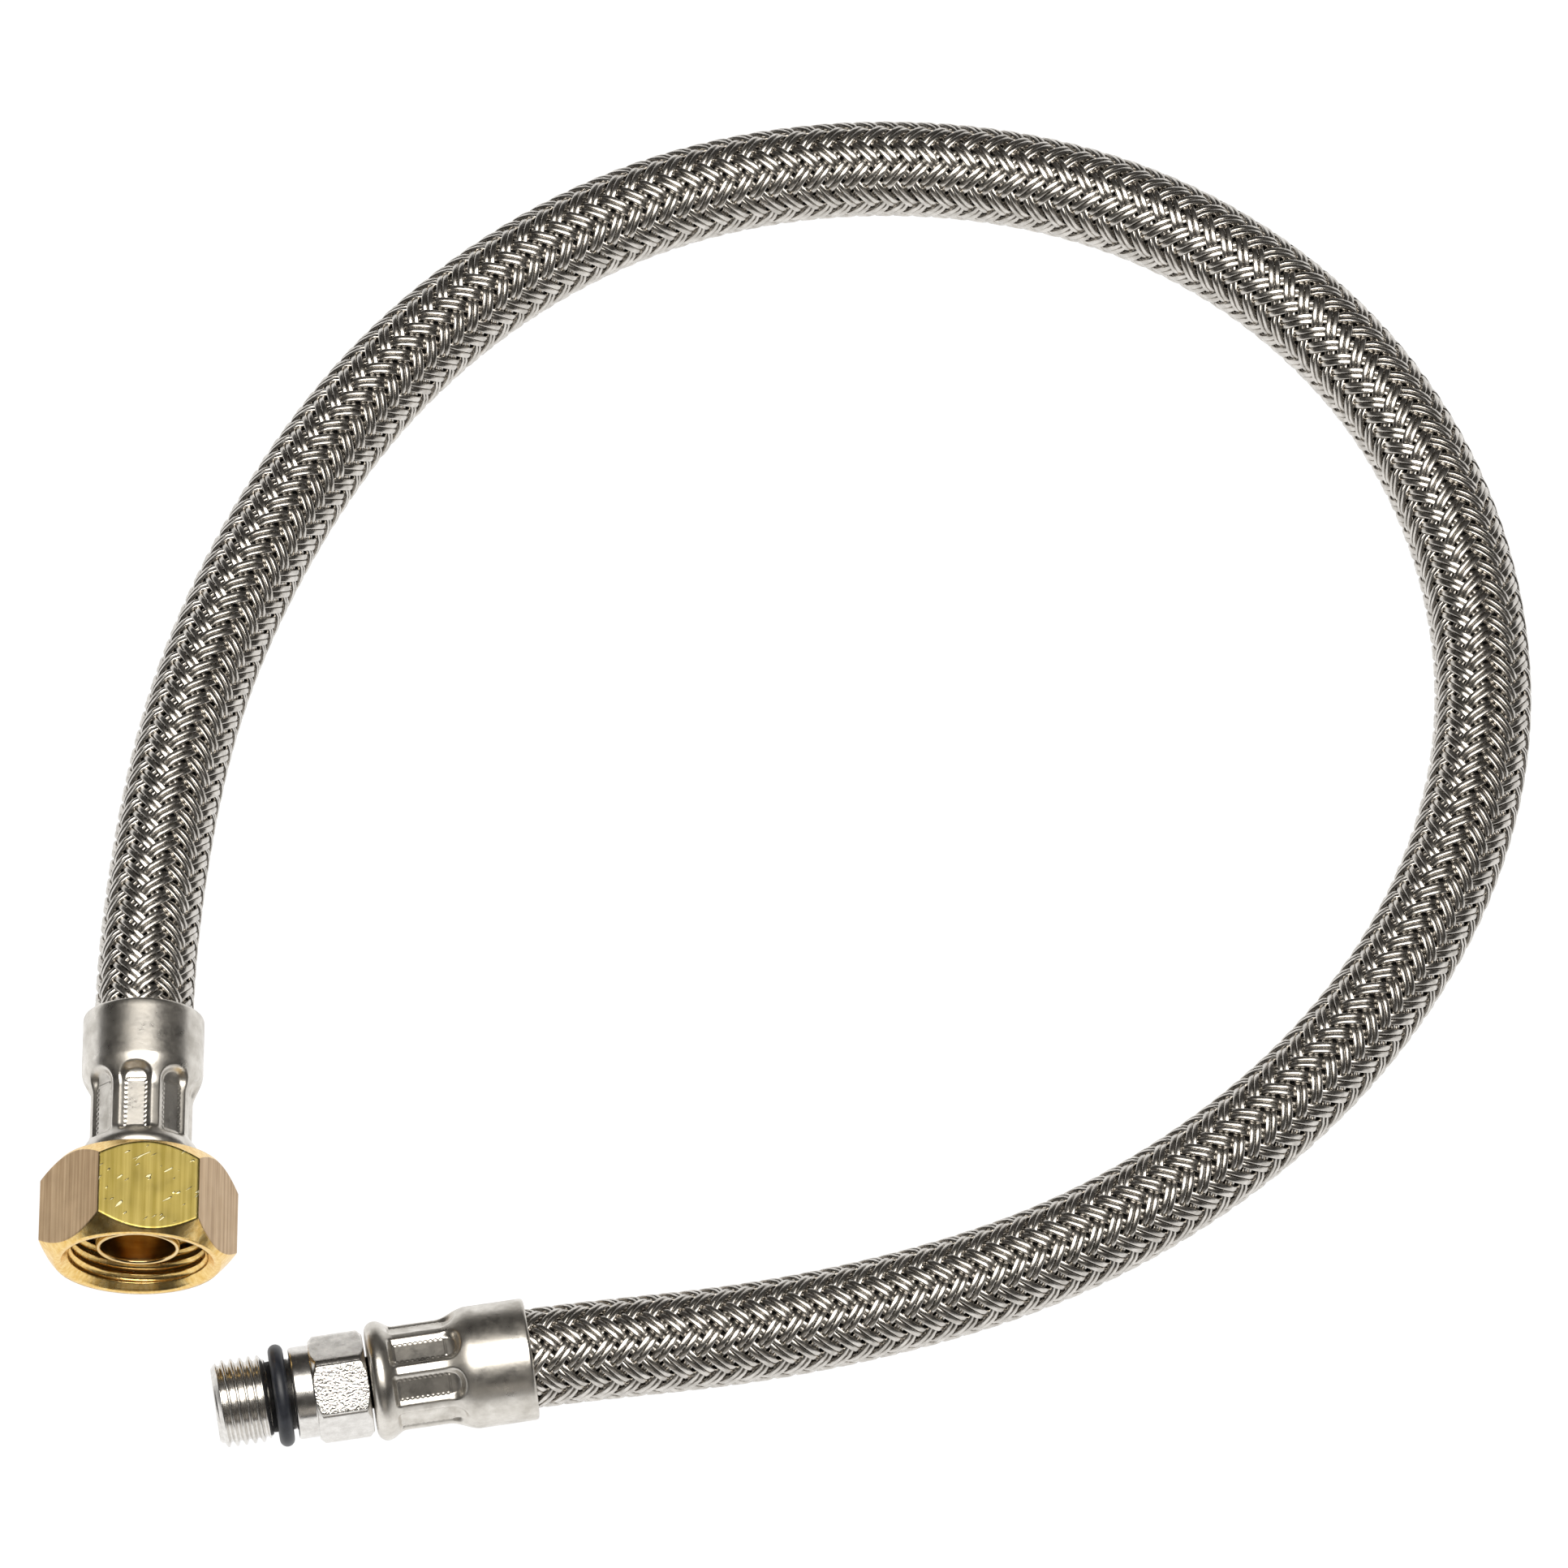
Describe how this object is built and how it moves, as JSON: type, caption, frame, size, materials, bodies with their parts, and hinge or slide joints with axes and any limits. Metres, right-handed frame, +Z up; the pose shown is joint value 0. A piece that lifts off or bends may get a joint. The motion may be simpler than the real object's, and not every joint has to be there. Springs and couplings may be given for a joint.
{
  "type": "braided supply line",
  "caption": "Flexible wire-braided water supply line with a swivel union nut at one end and a male threaded connector with an O-ring at the other.",
  "frame": {"origin": "on the floor, under the middle of the box around the two end fittings; the free hose is left out of that box", "axes": "+Z up from the floor that the line lies on; -Y out of the union nut's mouth; the hose loops away towards +X and +Y"},
  "size_m": [0.1707, 0.168, 0.0213],
  "materials": {
    "braid_steel": "woven round wire, bright",
    "hose_rubber": "matte",
    "nickel": "satin nickel plate on pressed metal",
    "tail_brass": "turned",
    "gasket": "matte",
    "brass": "turned and milled, lightly brushed",
    "bright_nickel": "bright nickel plate",
    "o_ring_rubber": "matte"
  },
  "bodies": {
    "hose_line": {"braid_sleeve": "braid_steel", "inner_hose": "hose_rubber", "union_ferrule": "nickel", "union_tail": "tail_brass", "union_gasket": "gasket", "connector_ferrule": "nickel", "male_connector": "bright_nickel", "male_o_ring": "o_ring_rubber"},
    "union_nut": {"union_nut": "brass"}
  },
  "joints": [
    {"name": "nut_swivel", "type": "hinge", "parent": "hose_line", "child": "union_nut", "pos_m": [-0.0171, 0.0009, 0.01064], "axis": [0, -1, 0], "continuous": true}
  ]
}
